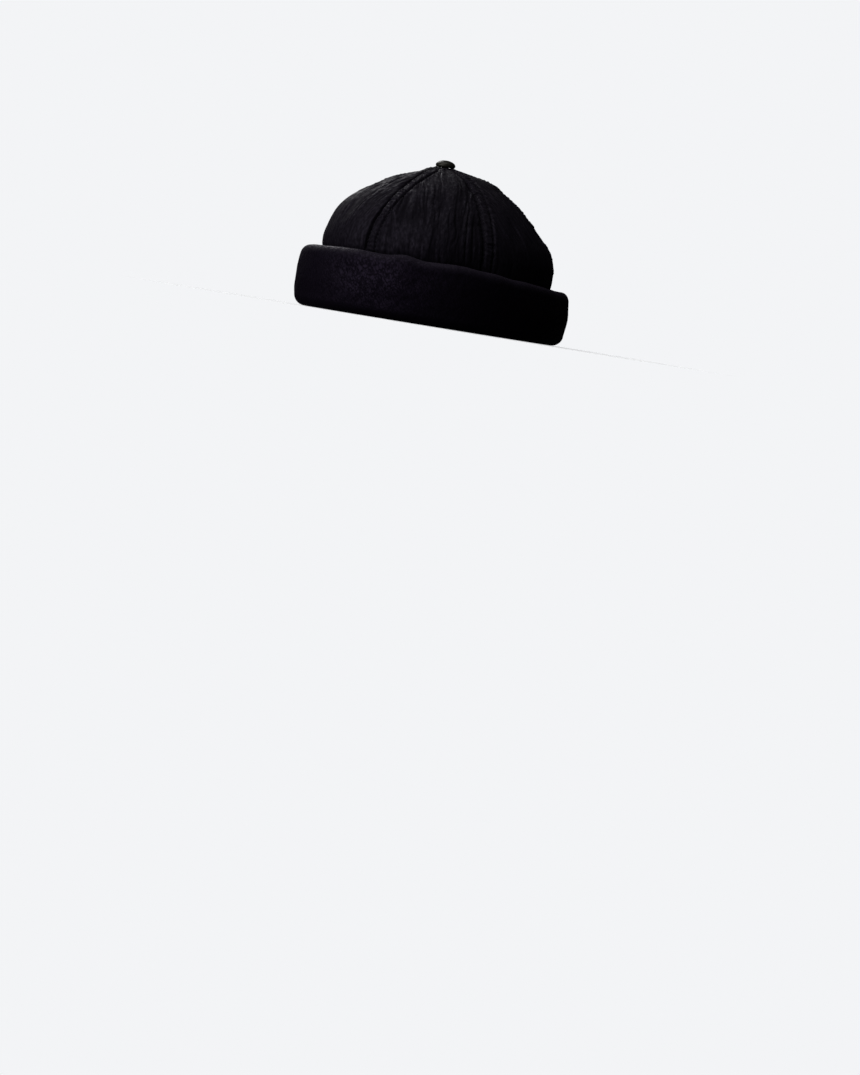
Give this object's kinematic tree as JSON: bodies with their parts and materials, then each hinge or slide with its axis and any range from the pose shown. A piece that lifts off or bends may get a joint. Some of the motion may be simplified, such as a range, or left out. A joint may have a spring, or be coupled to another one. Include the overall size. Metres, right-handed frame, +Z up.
{
  "type": "brimless breton fisherman cap",
  "caption": "Soft brimless fisherman cap: a domed crown of sewn gores, a wide padded turned-up cuff all round and a small covered button at the top.",
  "frame": {"origin": "middle of the cap's outline, on the plane that the foot of its cuff rests on", "axes": "-Y towards the front of the cap, +X towards the wearer's left, +Z up"},
  "size_m": [0.2096, 0.2372, 0.1303],
  "materials": {
    "crown_cloth": "thin crinkled near-black cloth with a faint sheen",
    "cuff_cloth": "smooth near-black padded cloth",
    "button_cloth": "satin near-black covered button"
  },
  "bodies": {
    "root": {"crown_gore_1": "crown_cloth", "crown_gore_2": "crown_cloth", "crown_gore_3": "crown_cloth", "crown_gore_4": "crown_cloth", "crown_gore_5": "crown_cloth", "crown_gore_6": "crown_cloth", "cuff": "cuff_cloth", "top_button": "button_cloth"}
  },
  "joints": []
}
